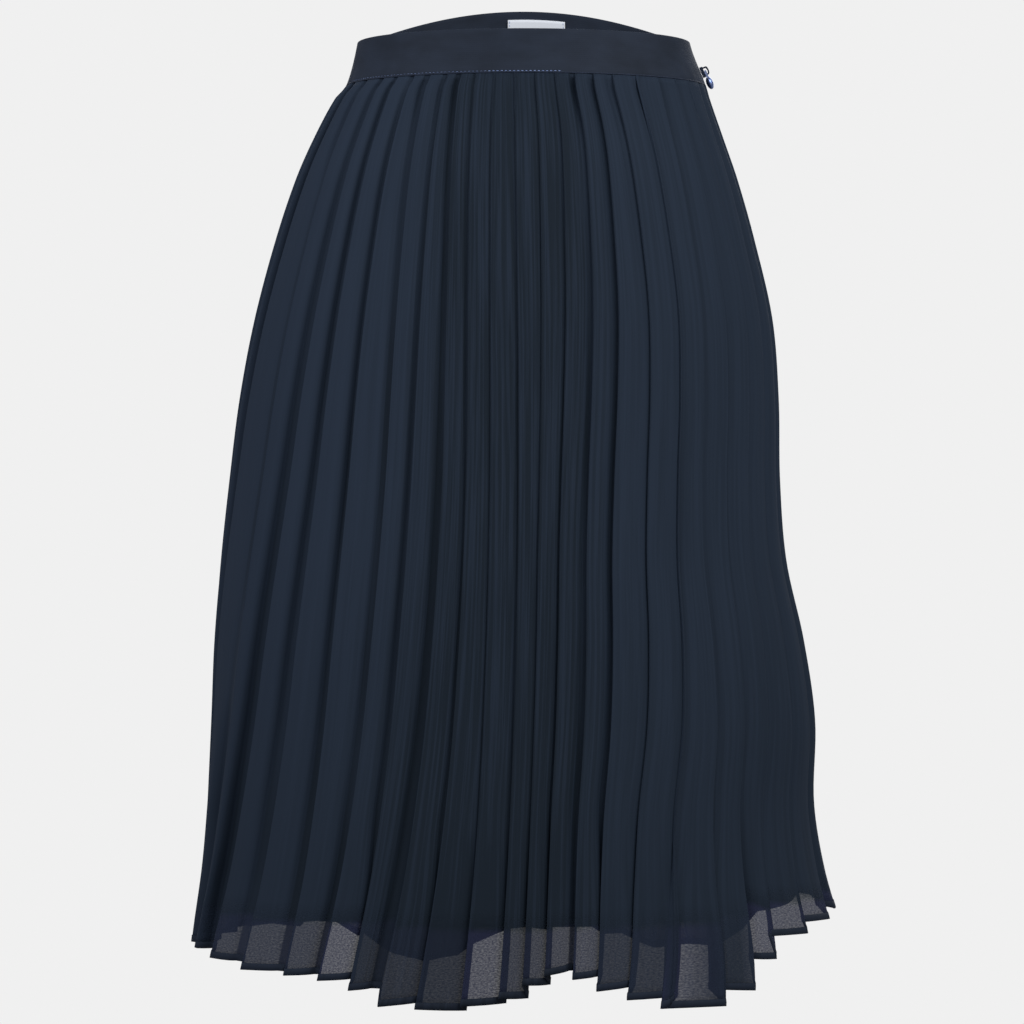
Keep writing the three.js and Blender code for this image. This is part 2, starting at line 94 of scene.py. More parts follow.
LINING_WALL = 0.5
LINING_LENGTH_SHARE = 0.937
LINING_CLEAR = 0.6
LINING_TUCK = 6
LINING_EASE = 4
LEVEL_HEM = -716
ZIP_SIDE_HEM_RISE = 10
TAPE_WIDTH = 24

LEFT, RIGHT = -90, 90

# The worn outline: how far the folds' edges stand from the middle at each height, as z, right, left,
# front and back
OUTLINE = (
    (60, 128, 128, 90, 90),
    (17.5, 133, 133, 94, 93),
    (-17.5, 146, 142, 98, 100),
    (-28, 149, 151, 102, 106),
    (-60, 160, 168, 112, 124),
    (-92, 171, 182, 121, 141),
    (-140, 184.5, 198, 130, 156),
    (-204, 199, 215, 140, 165),
    (-268, 204, 227, 148, 168),
    (-332, 205, 235, 155, 170),
    (-396, 210, 242, 162, 173),
    (-460, 224, 247, 168, 177),
    (-524, 233, 249.5, 174, 182),
    (-588, 232, 253, 181, 188),
    (-640, 240, 257, 186, 193),
    (-700, 256, 265, 191, 198),
    (-760, 262, 270, 196, 203),
)
Z, TO_RIGHT, TO_LEFT, TO_FRONT, TO_BACK = range(5)

# The front's folds: degrees round from the centre front at the waist, the knee and the hem, and the
# height of the hem there
FRONT_FOLDS = (
    (-76.5, -82, -97, -700),
    (-68.7, -74.5, -88, -700),
    (-59.3, -60.5, -78, -701),
    (-50, -51, -67, -705),
    (-43.5, -43, -55, -710),
    (-36.6, -35, -43.5, -711),
    (-30.5, -26.8, -36, -713),
    (-24.5, -21.5, -29.8, -719),
    (-19.8, -15.4, -24.2, -730),
    (-15, -10.8, -17.8, -731),
    (-9.2, -6.2, -10.2, -728),
    (-2.6, -1, -4, -722),
    (4.2, 3.2, -0.2, -712),
    (10.8, 7.8, 3.5, -705),
    (17.4, 13.6, 8.2, -708),
    (23.3, 19.2, 12.2, -717),
    (29.3, 27, 17.4, -724),
    (37.8, 34.6, 25, -729),
    (45.8, 41.4, 36, -732),
    (54.2, 49.2, 42.8, -722),
    (62.4, 57.8, 49, -700),
    (70.4, 66.6, 60.5, -684),
    (78, 76.6, 73.5, -677),
)
# Beside each front fold: the dark gap, as wide as it looks from in front, at the waist, the knee and
# the hem; how far the cloth is tucked behind the fold near the hem, less than 0 where the gap stays
# open; and how much of its depth the hollow keeps
FRONT_GAPS = (
    (1, 1, 1, 0, 1),
    (1, 1, 1, 3, 1),
    (1.5, 2.5, 2, -2, 1),
    (2, 5, 4, -4, 1),
    (2, 4, 7, -5, 0.9),
    (3, 2.5, 7, -5, 0.85),
    (4, 4, 5, -3, 0.65),
    (3, 3, 4, 3, 0.55),
    (3.5, 5, 6.5, -6, 0.6),
    (3, 1.5, 2.5, 4, 0.4),
    (1.2, 0.7, 2, 3, 0.2),
    (3, 1.2, 2, 4, 0.25),
    (1.2, 0.7, 1.5, 3, 0.2),
    (3, 1, 2.5, 3, 0.28),
    (3.5, 4, 4.5, -3, 0.5),
    (3, 3.5, 3.5, 3, 0.5),
    (5, 0.8, 1.5, 5, 0.3),
    (1.5, 0.8, 1, 5, 0.18),
    (1.5, 1.2, 3, 6, 0.2),
    (1, 1, 1.5, 12, 0.3),
    (1, 0.8, 1, 3, 0.3),
    (1, 0.8, 2, 5, 0.3),
    (1, 0.8, 2, 3, 0.4),
    (1, 1, 2, 0, 1),
)
TUCK_STARTS, TUCK_IS_FULL = 0.8, 0.94
GAP_TURNS_AT = 17  # gaps up to this one are on their fold's left, the others right of the fold before
ZIP_SEAM = (90, 89, 87, -672)
PLAIN_SEAM = (-90, -93, -106, -702)
PLAIN_SEAM_FROM_BACK = (270, 267, 254, -702)

# The back's folds are spaced in waves, in degrees at the waist, and wider below
BACK_SPACING_WAVE = 1.1
BACK_WAVES = 2
WAVE_AT_KNEE, WAVE_AT_HEM = 1.3, 1.6
BACK_FIRST, BACK_ENDS = 0.15, 1.3  # in folds: how far on the first one is, and the room at both ends
# The back's hem, which shows through the front's: degrees round from the centre front, and height
BACK_HEM = (
    (87, -672),
    (105, -668),
    (120, -670),
    (127, -680),
    (130, -696),
    (141, -722),
    (160, -724),
    (172, -703),
    (186, -719),
    (192, -735),
    (201, -742),
    (209, -716),
    (217, -701),
    (254, -699),
)


def blend(a, b, t):
    return a + (b - a) * t


def clamp(value, low=0.0, high=1.0):
    return max(low, min(high, value))


def back_hem_z(degrees):
    last = len(BACK_HEM) - 1
    after = next((k for k in range(1, last) if BACK_HEM[k][0] >= degrees), last)
    (start, high), (end, low) = BACK_HEM[after - 1], BACK_HEM[after]
    return blend(high, low, (degrees - start) / (end - start))


def back_folds():
    folds = []
    for i in range(1, BACK_FOLDS + 1):
        share = (i + BACK_FIRST) / (BACK_FOLDS + BACK_ENDS)
        wave = BACK_SPACING_WAVE * math.sin(share * 2 * BACK_WAVES * math.pi + 1)
        waist, knee, hem = [blend(ZIP_SEAM[k], PLAIN_SEAM_FROM_BACK[k], share) for k in range(3)]
        hem += WAVE_AT_HEM * wave
        folds.append((waist + wave, knee + WAVE_AT_KNEE * wave, hem, back_hem_z(hem)))
    return tuple(folds)


def from_outline(column, z):
    """A smooth value from a column of the outline, as a cubic between its rows."""
    last = len(OUTLINE) - 1
    i = next((k for k in range(last) if OUTLINE[k + 1][Z] <= z), last - 1)

    def row(k):
        return OUTLINE[int(clamp(k, 0, last))]

    def slope(k):
        return (row(k + 1)[column] - row(k - 1)[column]) / (row(k - 1)[Z] - row(k + 1)[Z])

    span = row(i)[Z] - row(i + 1)[Z]
    t = clamp((row(i)[Z] - z) / span)
    value = blend(row(i)[column], row(i + 1)[column], t * t * (3 - 2 * t))
    value += (t - 2 * t**2 + t**3) * span * slope(i)
    return value + (t**3 - t**2) * span * slope(i + 1)


def ring_point(degrees, z):
    """A point of the worn outline, and the way out from it, in plan."""
    a = math.radians(degrees)
    side = from_outline(TO_RIGHT if math.sin(a) > 0 else TO_LEFT, z)
    depth = from_outline(TO_FRONT if math.cos(a) > 0 else TO_BACK, z)
    point = Vector((side * math.sin(a), -depth * math.cos(a), z))
    out = Vector((point.x / side**2, point.y / depth**2, 0)).normalized()
    return point, out


def degrees_of(arc, degrees, z):
    before, _ = ring_point(degrees - 0.5, z)
    after, _ = ring_point(degrees + 0.5, z)
    return arc / (after - before).length


def waist_rise(degrees):
    return BACK_RISE * max(0, -math.cos(math.radians(degrees))) ** BACK_RISE_POWER


def band_top(degrees):
    return BAND_HEIGHT / 2 + waist_rise(degrees)


def band_foot(degrees):
    return -BAND_HEIGHT / 2 + waist_rise(degrees)


def lining_height(degrees, share):
    foot = band_foot(degrees)
    if share < 0:
        return foot + LINING_TUCK
    zip_side = ZIP_SIDE_HEM_RISE * max(0, math.sin(math.radians(degrees))) ** 3
    return blend(foot - SEAM_GAP, LEVEL_HEM + zip_side, share)


def deepest_at(share):
    return blend(DEEPEST_AT_WAIST, DEEPEST_AT_HEM, share**DEEPEST_POWER)


GATHER_ROOM = 2.2
GATHER_ROOM_AT, GATHER_ROOM_REACH = 0.03, 0.04  # of the panel's length


def gather_room(share):
    """How far the lining stands back from the gathers just under the band."""
    return GATHER_ROOM * math.exp(-(((share - GATHER_ROOM_AT) / GATHER_ROOM_REACH) ** 2))


# Nodes and materials


def linear(hex_colour):
    """The linear colour of an sRGB hex value, with full opacity."""
    parts = [int(hex_colour[i : i + 2], 16) / 255 for i in (1, 3, 5)]
    return tuple(c / 12.92 if c <= 0.04045 else ((c + 0.055) / 1.055) ** 2.4 for c in parts) + (1,)


def add_node(tree, kind, settings=None, links=None):
    """A node with its settings, which name properties or sockets, and its sockets linked to others."""
    node = tree.nodes.new(kind)
    for name, value in (settings or {}).items():
        if isinstance(name, str) and hasattr(node, name):
            setattr(node, name, value)
        else:
            node.inputs[name].default_value = value
    for name, source in (links or {}).items():
        tree.links.new(source, node.inputs[name])
    return node


def new_material(name, **settings):
    """A material with its principled shader, and the tree it is in."""
    material = bpy.data.materials.new(name)
    material.use_nodes = True
    tree = material.node_tree
    shader = tree.nodes["Principled BSDF"]
    for socket, value in settings.items():
        shader.inputs[socket.replace("_", " ")].default_value = value
    return material, tree, shader


def cloth_uv(tree, across_per_m, along_per_m):
    """The cloth's own UV map, which is in metres, scaled to cycles."""
    uv = add_node(tree, "ShaderNodeUVMap", {"uv_map": "cloth"})
    return add_node(
        tree,
        "ShaderNodeMapping",
        {"Scale": (across_per_m, along_per_m, 1)},
        {"Vector": uv.outputs["UV"]},
    ).outputs["Vector"]


WAVE_SCALE = 1 / 3.14159  # at this scale the wave texture has one wave in each two units
WAVE_DISTORTION = 0.6


def weave_height(tree, thread_mm):
    """Plain weave: warp and weft waves, a thread apart."""
    cycles = 1 / (thread_mm * MM)
    place = cloth_uv(tree, cycles / 2, cycles / 2)
    waves = []
    for way in ("X", "Y"):
        settings = {"wave_type": "BANDS", "bands_direction": way, "Scale": WAVE_SCALE}
        settings.update({"Distortion": WAVE_DISTORTION, "Detail": 1})
        waves.append(add_node(tree, "ShaderNodeTexWave", settings, {"Vector": place}))
    return add_node(
        tree,
        "ShaderNodeMath",
        {"operation": "MULTIPLY"},
        {0: waves[0].outputs["Fac"], 1: waves[1].outputs["Fac"]},
    ).outputs["Value"]


def noise(tree, place, scale, detail=3, roughness=0.5):
    return add_node(
        tree,
        "ShaderNodeTexNoise",
        {"Scale": scale, "Detail": detail, "Roughness": roughness},
        {"Vector": place},
    ).outputs["Fac"]


def bump(tree, height, distance_mm, strength, under=None):
    links = {"Height": height}
    if under:
        links["Normal"] = under
    settings = {"Distance": distance_mm * MM, "Strength": strength}
    return add_node(tree, "ShaderNodeBump", settings, links).outputs["Normal"]


def shade_between(tree, shader, height, dark, light, low=0.35, high=0.65):
    """The shader's colour runs from dark to light as the height does."""
    ramp = add_node(tree, "ShaderNodeValToRGB", None, {"Fac": height})
    ramp.color_ramp.elements[0].position = low
    ramp.color_ramp.elements[0].color = linear(dark)
    ramp.color_ramp.elements[1].position = high
    ramp.color_ramp.elements[1].color = linear(light)
    tree.links.new(ramp.outputs["Color"], shader.inputs["Base Color"])
    return ramp.outputs["Color"]


CHIFFON_SEEN = 0.71  # of each face: one layer, which has two, lets through a twelfth of the light
CUT = (1.10, 0.715)  # the flat size of a pleated panel, in metres: its UV map runs from 0 to this
PLEATS = 24
GAP_FLOOR = 4  # the flat width of the bottom of a hollow
PLEAT_FLAT = 2 * LEG_AT_HEM + GAP_FLOOR + FOLD_FLAT
PANEL_FLAT = 2 * SEAM_FLAT + PLEATS * PLEAT_FLAT - FOLD_FLAT
FADE = 0.022  # of the panel's length: the height over which the lining's hem shows softly through
# Across a panel, how see-through its pleats look below the lining: least where they lie close or double
FRONT_THINNESS = (
    (0, 0.3),
    (0.15, 0.3),
    (0.17, 0.67),
    (0.285, 0.67),
    (0.295, 1),
    (0.325, 1),
    (0.335, 0.35),
    (0.37, 0.45),
    (0.44, 0.5),
    (0.46, 0.95),
    (0.49, 0.95),
    (0.505, 0.65),
    (0.63, 0.8),
    (0.66, 0.5),
    (0.75, 0.5),
    (0.768, 1),
    (0.79, 0.3),
    (0.82, 0.3),
    (0.84, 1),
    (1, 0.9),
)
BACK_THINNESS = ((0, 0.9), (0.2, 0.6), (0.4, 0.9), (0.6, 0.5), (0.8, 0.9), (1, 0.6))

# Pleats are counted across the panel from its first seam. In each of them, the bottom of its hollow is
# between the ends of its two legs.
PLEAT_COUNTED = (PANEL_FLAT / PLEAT_FLAT, -SEAM_FLAT / PLEAT_FLAT)
LEG_ENDS = LEG_AT_HEM / PLEAT_FLAT
BOTTOM_ENDS = (LEG_AT_HEM + GAP_FLOOR) / PLEAT_FLAT
SOFT_EDGE = 0.012
BOTTOM_OF_PLEAT = (
    (LEG_ENDS - SOFT_EDGE, 0),
    (LEG_ENDS, 1),
    (BOTTOM_ENDS, 1),
    (BOTTOM_ENDS + SOFT_EDGE, 0),
)

# Cycles in a metre of cloth, across it and down it
GRAIN_CYCLES = (800, 1000)
CREASE_CYCLES = (330, 5)
SLACK_CYCLES = (18, 9)
UNEVEN_CYCLES = (22, 3)
# Ramps of the chiffon's creases and of the shade painted into its colour, each a row of positions and
# levels
CREASES_ACROSS = ((0.2, 0.12), (0.3, 0.35), (0.4, 1.0), (0.57, 1.0), (0.66, 0.4), (1.0, 0.3))
# painted shade: how much the fine creases darken the colour
CREASE_PAINTED_SHADE = ((0.4, 0.95), (0.6, 0.35))
# painted shade at the bottoms of the hollows: across the panel, down it, and unevenly along them
HOLLOW_SHADE_ACROSS = ((0.36, 0.75), (0.42, 0.05), (0.66, 0.05), (0.7, 0.2))
HOLLOW_SHADE_DOWN = ((0.1, 0.35), (0.5, 1.0))
HOLLOW_SHADE_UNEVEN = ((0.38, 0.25), (0.6, 0.75))
# painted shade, darker and darker towards the hem
SHADE_PAINTED_TO_HEM = ((0.55, 0), (0.95, 0.25))
DARKEST_SHADE = 0.85
HOLLOW_HOLDS = 0.6  # of the light that comes through the cloth elsewhere
# painted light below the lining: its colour, where it starts and is full, and how much of it is mixed
# in
PAINTED_LIGHT_THROUGH = "#323455"
BELOW_STARTS, BELOW_IS_FULL, BELOW_MIX = -0.003, 0.004, 0.5
SPECKLES = (2.4, -0.2)  # times the grain, and plus this


def ramp_of(tree, value, stops):
    """A number or colour that runs through the stops, each a position and a grey level."""
    ramp = add_node(tree, "ShaderNodeValToRGB", None, {"Fac": value})
    elements = ramp.color_ramp.elements
    for i, (position, level) in enumerate(stops):
        element = elements[i] if i < 2 else elements.new(position)
        element.position = position
        element.color = (level, level, level, 1)
    return ramp.outputs["Color"]


def math_node(tree, operation, first, second):
    """first is a socket; second is a number or a socket."""
    settings, links = {"operation": operation}, {0: first}
    if isinstance(second, (int, float)):
        settings[1] = second
    else:
        links[1] = second
    return add_node(tree, "ShaderNodeMath", settings, links).outputs["Value"]


def times_plus(tree, value, times, plus):
    settings = {"operation": "MULTIPLY_ADD", 1: times, 2: plus}
    return add_node(tree, "ShaderNodeMath", settings, {0: value}).outputs["Value"]


def lining_ends(folds):
    """How far down each fold the lining's hem is, by how far across the panel the fold is."""
    ends = []
    for i, (_, _, hem, hem_z) in enumerate(folds):
        end = lining_height(hem, LINING_LENGTH_SHARE) + BAND_HEIGHT / 2
        ends.append(((i + 1) / (len(folds) + 1), end / (hem_z + BAND_HEIGHT / 2)))
    return ends


def painted_hollow_shade(tree, across, down, bottom):
    """Painted shade: the colour is darkened at the bottom of each hollow, for the shade of the cloth on
    both sides of it, most where its gap is open."""
    shades = ramp_of(tree, across, HOLLOW_SHADE_ACROSS)
    shades = math_node(tree, "MULTIPLY", shades, ramp_of(tree, down, HOLLOW_SHADE_DOWN))
    uneven = noise(tree, cloth_uv(tree, *UNEVEN_CYCLES), 1, 2, 0.6)
    uneven = ramp_of(tree, uneven, HOLLOW_SHADE_UNEVEN)
    return math_node(tree, "MULTIPLY", math_node(tree, "MULTIPLY", bottom, uneven), shades)


def painted_light_below_lining(tree, past, thin, colour):
    """Painted light: the colour is made lighter and bluer below the lining, standing in for the light
    that comes through the cloth there, most where the cloth is thinnest."""
    settings = {1: BELOW_STARTS, 2: BELOW_IS_FULL, 3: 0, 4: BELOW_MIX}
    below = add_node(tree, "ShaderNodeMapRange", settings, {0: past}).outputs[0]
    share = math_node(tree, "MULTIPLY", below, math_node(tree, "POWER", thin, 2.0))
    settings = {"data_type": "RGBA", 7: linear(PAINTED_LIGHT_THROUGH)}
    return add_node(tree, "ShaderNodeMix", settings, {0: share, 6: colour}).outputs[2]


def chiffon(name, dark, light, folds=None, thinness=None):
    """Polyester chiffon: a crisp crepe-twist plain weave, matt, with a slight cold sheen. With folds it
    is a panel's own, which is see-through below the lining."""
    material, tree, shader = new_material(
        name,
        Roughness=0.8,
        Sheen_Weight=0.04,
        Sheen_Roughness=0.5,
        Sheen_Tint=linear("#7E92BC"),
        Specular_IOR_Level=0.15,
    )
    place = cloth_uv(tree, 1 / CUT[0], 1 / CUT[1])
    split = add_node(tree, "ShaderNodeSeparateXYZ", None, {"Vector": place})
    across, down = split.outputs["X"], split.outputs["Y"]
    # Threads are 0.25 mm apart, too fine to show, so the grain is drawn at about 1 mm.
    grain = noise(tree, cloth_uv(tree, *GRAIN_CYCLES), 1, 2, 0.7)
    # Pressing leaves fine creases that run down the cloth, a few millimetres apart, most of them in the
    # middle of the panel.
    fine = noise(tree, cloth_uv(tree, *CREASE_CYCLES), 1, 4, 0.6)
    most = ramp_of(tree, across, CREASES_ACROSS)
    creases = math_node(tree, "MULTIPLY", fine, most)
    slack = noise(tree, cloth_uv(tree, *SLACK_CYCLES), 1, 2, 0.5)
    normal = bump(tree, slack, 2.2, 0.5)
    normal = bump(tree, creases, 1.1, 0.8, normal)
    normal = bump(tree, grain, 0.12, 0.5, normal)
    tree.links.new(normal, shader.inputs["Normal"])
    # Painted shade: the colour is darker where there are more creases, standing in for the shade their
    # small folds hold.
    shade = math_node(tree, "MULTIPLY", ramp_of(tree, fine, CREASE_PAINTED_SHADE), most)
    if not folds:
        shade_between(tree, shader, shade, light, dark, 0.0, DARKEST_SHADE)
        return material
    pleat = math_node(tree, "FRACT", times_plus(tree, across, *PLEAT_COUNTED), 0.0)
    bottom = ramp_of(tree, pleat, BOTTOM_OF_PLEAT)
    # painted shade at the bottom of each hollow
    shade = math_node(tree, "ADD", shade, painted_hollow_shade(tree, across, down, bottom))
    # Painted shade: the colour is darker and darker towards the hem.
    shade = math_node(tree, "ADD", shade, ramp_of(tree, down, SHADE_PAINTED_TO_HEM))
    colour = shade_between(tree, shader, shade, light, dark, 0.0, DARKEST_SHADE)
    past = math_node(tree, "SUBTRACT", down, ramp_of(tree, across, lining_ends(folds)))
    thin = ramp_of(tree, across, thinness)
    # painted light below the lining, where light comes through the cloth
    tree.links.new(painted_light_below_lining(tree, past, thin, colour), shader.inputs["Base Color"])
    fade = add_node(tree, "ShaderNodeMapRange", {1: -FADE, 2: 0, 3: 0, 4: 1 - CHIFFON_SEEN}, {0: past})
    through = math_node(tree, "MULTIPLY", fade.outputs[0], thin)
    through = math_node(tree, "MULTIPLY", through, times_plus(tree, bottom, -HOLLOW_HOLDS, 1))
    speckled = math_node(tree, "MULTIPLY", through, times_plus(tree, grain, *SPECKLES))
    tree.links.new(times_plus(tree, speckled, -1, 1), shader.inputs["Alpha"])
    return material


def crepe():
    """Polyester crepe over a stiff interfacing: a flat, matt, finely grained face."""
    material, tree, shader = new_material(
        "polyester crepe, interfaced",
        Roughness=0.72,
        Sheen_Weight=0.1,
        Sheen_Roughness=0.4,
        Sheen_Tint=linear("#8C9CC0"),
        Specular_IOR_Level=0.15,
    )
    # Crepe threads are 0.3 mm apart; they are drawn at 0.8 mm to show.
    weave = weave_height(tree, 0.8)
    soft = noise(tree, cloth_uv(tree, 30, 60), 1, 3, 0.5)
    normal = bump(tree, soft, 0.9, 0.5)
    normal = bump(tree, weave, 0.1, 0.5, normal)
    tree.links.new(normal, shader.inputs["Normal"])
    shade_between(tree, shader, soft, "#202733", "#262E3C")
    return material


def lining_cloth():
    """Polyester taffeta: a smooth, tight plain weave with a low satin sheen."""
    material, tree, shader = new_material(
        "polyester taffeta lining",
        Roughness=0.5,
        Specular_IOR_Level=0.35,
        Sheen_Weight=0.05,
    )
    weave = weave_height(tree, 0.7)
    slack = noise(tree, cloth_uv(tree, 14, 5), 1, 3, 0.5)
    normal = bump(tree, slack, 3.0, 0.5)
    normal = bump(tree, weave, 0.06, 0.4, normal)
    tree.links.new(normal, shader.inputs["Normal"])
    shade_between(tree, shader, slack, "#1E2431", "#262D3C")
    return material


def label_cloth():
    """A damask-woven satin label with nothing woven into it: smooth, white and slightly glossy."""
    material, tree, shader = new_material("white damask label tape", Roughness=0.45, Sheen_Weight=0.1)
    weave = weave_height(tree, 0.5)
    tree.links.new(bump(tree, weave, 0.05, 0.4), shader.inputs["Normal"])
    shade_between(tree, shader, weave, "#DDE2EA", "#E9EDF3")
    return material


def zip_cloth():
    """Woven polyester zip tape: a dense, slightly ribbed tape."""
    material, tree, shader = new_material("woven zip tape", Roughness=0.7, Specular_IOR_Level=0.3)
    weave = weave_height(tree, 0.9)
    tree.links.new(bump(tree, weave, 0.12, 0.6), shader.inputs["Normal"])
    shade_between(tree, shader, weave, "#1D2330", "#272F3E")
    return material


def thread(name, dark, light):
    """Polyester sewing thread: two plies with a soft shine."""
    material, tree, shader = new_material(
        name,
        Roughness=0.6,
        Sheen_Weight=0.05,
        Specular_IOR_Level=0.15,
    )
    place = add_node(tree, "ShaderNodeTexCoord").outputs["Object"]
    shade_between(tree, shader, noise(tree, place, 900, 2), dark, light)
    return material


def plated_metal(name, dark, light, rough):
    """Nickel-plated die-cast zinc: a mirror-bright skin with faint polishing marks."""
    material, tree, shader = new_material(name, Metallic=1.0, Roughness=rough)
    place = add_node(tree, "ShaderNodeTexCoord").outputs["Object"]
    marks = noise(tree, place, 1400, 3)
    tree.links.new(bump(tree, marks, 0.02, 0.3), shader.inputs["Normal"])
    shade_between(tree, shader, marks, dark, light)
    return material


DARK_NAVY, LIGHT_NAVY = "#151F2A", "#253040"
FRONT_CHIFFON = chiffon(
    "polyester chiffon, front", DARK_NAVY, LIGHT_NAVY, FRONT_FOLDS, FRONT_THINNESS
)
BACK_CHIFFON = chiffon("polyester chiffon, back", DARK_NAVY, LIGHT_NAVY, back_folds(), BACK_THINNESS)
ROLLED = chiffon("polyester chiffon, rolled in three layers", "#161D28", "#202836")
BAND = crepe()
LINING = lining_cloth()
LABEL_TAPE = label_cloth()
ZIP_TAPE = zip_cloth()
NAVY_THREAD = thread("navy polyester thread", "#1D2534", "#283247")
PALE_THREAD = thread("light blue polyester thread", "#6C80B0", "#93A6D2")
NICKEL = plated_metal("dark nickel-plated zinc", "#2E3648", "#465068", 0.22)
BLUE_NICKEL = plated_metal("pale blue nickel-plated zinc", "#4668B8", "#B8C8EC", 0.26)

# Making pieces


def finish_piece(mesh, name, material):
    """A piece of the skirt made from a mesh."""
    data = bpy.data.meshes.new(name)
    mesh.to_mesh(data)
    mesh.free()
    for polygon in data.polygons:
        polygon.use_smooth = True
    data.materials.append(material)
    piece = bpy.data.objects.new(name, data)
    bpy.context.scene.collection.objects.link(piece)
    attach(piece, "skirt")
    return piece


def running(steps):
    """The running total of the steps, from 0 to 1."""
    totals = [0.0]
    for step in steps:
        totals.append(totals[-1] + step)
    return [total / totals[-1] for total in totals]


def cloth_grid(sections, uv_size, widths=None):
    """A sheet whose rows of points are the sections, top first. Its UV map is in metres. widths are
    those of its columns in the flat cloth, where they are uneven."""
    down = len(sections) - 1
    across = len(sections[0]) - 1
    mesh = bmesh.new()
    bmesh.ops.create_grid(mesh, x_segments=across, y_segments=down, size=0.5)
    uv = mesh.loops.layers.uv.new("cloth")
    u_of = running(widths or [1] * across)
    v_of = running([(b[0] - a[0]).length for a, b in zip(sections, sections[1:])])
    cells = {}
    for vertex in mesh.verts:
        column = round((vertex.co.x + 0.5) * across)
        row = round((0.5 - vertex.co.y) * down)
        cells[vertex] = (u_of[column] * uv_size[0], v_of[row] * uv_size[1])
        vertex.co = sections[row][column] * MM
    for face in mesh.faces:
        for loop in face.loops:
            loop[uv].uv = cells[loop.vert]
    bmesh.ops.recalc_face_normals(mesh, faces=mesh.faces[:])
    in_plan = Vector((1, 1, 0))
    if sum(face.normal.dot(face.calc_center_median() * in_plan) for face in mesh.faces) < 0:
        bmesh.ops.reverse_faces(mesh, faces=mesh.faces[:])
    return mesh


def thicken(piece, wall_mm, offset=-1.0):
    solid = piece.modifiers.new("wall", "SOLIDIFY")
    solid.thickness = wall_mm * MM
    solid.offset = offset
    solid.use_even_offset = False
    return piece


def shares(count, power=1.0):
    return [(i / count) ** power for i in range(count + 1)]


# Pleated panels

LEG_STEPS = (0.0, 0.05, 0.3, 0.6, 0.85, 0.95, 1.0)
PANEL_ROWS = 84
ROWS_CLOSE_UP = 1.15  # a power: rows are nearer each other at the waist, where the cloth gathers
KEEPS = 4  # the last column of FRONT_GAPS
KEEPS_WHEN_TUCKED = 0.6
BEND, BEND_MIDDLE, BEND_REACH = -1.8, 20, 26  # degrees
BEND_LENGTH = 0.045  # of the panel's
PRESSED_FLAT = 0.7  # of their full depth: how deep the hollows are that face the front
LEAST_FACE_CURVE, FACE_CURVE = 1.5, 8  # how late a face turns in: flat ones, and ones of full depth
SIDE_ON = 0.1  # hollows that face the front by less than this aren't placed by how they look from there
GAP_FACING, LATE_FACING = 4, 3
UNDERCUT = 1.5  # how far a gap's floor goes on behind the fold
GATHER_DEPTH = 2.4
GATHER_LENGTH, GATHER_STARTS = 0.05, 0.012  # of the panel's
WIDE_GAP, WIDE_GAP_GATHERS = 3.5, 1.4  # a gap this wide at the waist has a deeper gather
ROOM_AT_WAIST, ROOM_OF_EASE = 0.4, 0.8  # what a hollow may take of the space before the lining
WIDEST_GAP = 0.45  # of the way between two folds
NEAREST_EDGE = 0.12  # of that way too: how near the hollow may come to the fold it turns from
FLOOR_SAG = 0.3
LEG_BOW = 0.35
DIP_POWER = 8


def through_three(waist, knee, hem, share):
    """A curve through its values at the waist, the knee and the hem."""
    value = waist * (2 * share**2 - 3 * share + 1) + knee * (4 * share - 4 * share**2)
    return value + hem * (2 * share**2 - share)


def fold_at(fold, share):
    """Where a fold is at a share of the way down. Some of the folds start with a bend."""
    waist, knee, hem, hem_z = fold
    top = band_foot(waist) - SEAM_GAP
    bend = BEND * clamp(1 - abs(waist - BEND_MIDDLE) / BEND_REACH)
    bend *= math.exp(-((share / BEND_LENGTH) ** 2))
    return through_three(waist, knee, hem, share) + bend, blend(top, hem_z, share)


def edge_point(fold, share, arc):
    """A point of the outline beside a fold, at an arc from it."""
    degrees, z = fold_at(fold, share)
    turn = degrees_of(arc, degrees, z)
    z += (waist_rise(fold[0] + turn) - waist_rise(fold[0])) * (1 - share)
    return ring_point(degrees + turn, z)[0]


def tucking(share):
    """How far the cloth has gone from its open gap to its tuck."""
    t = clamp((share - TUCK_STARTS) / (TUCK_IS_FULL - TUCK_STARTS))
    return t * t * (3 - 2 * t)


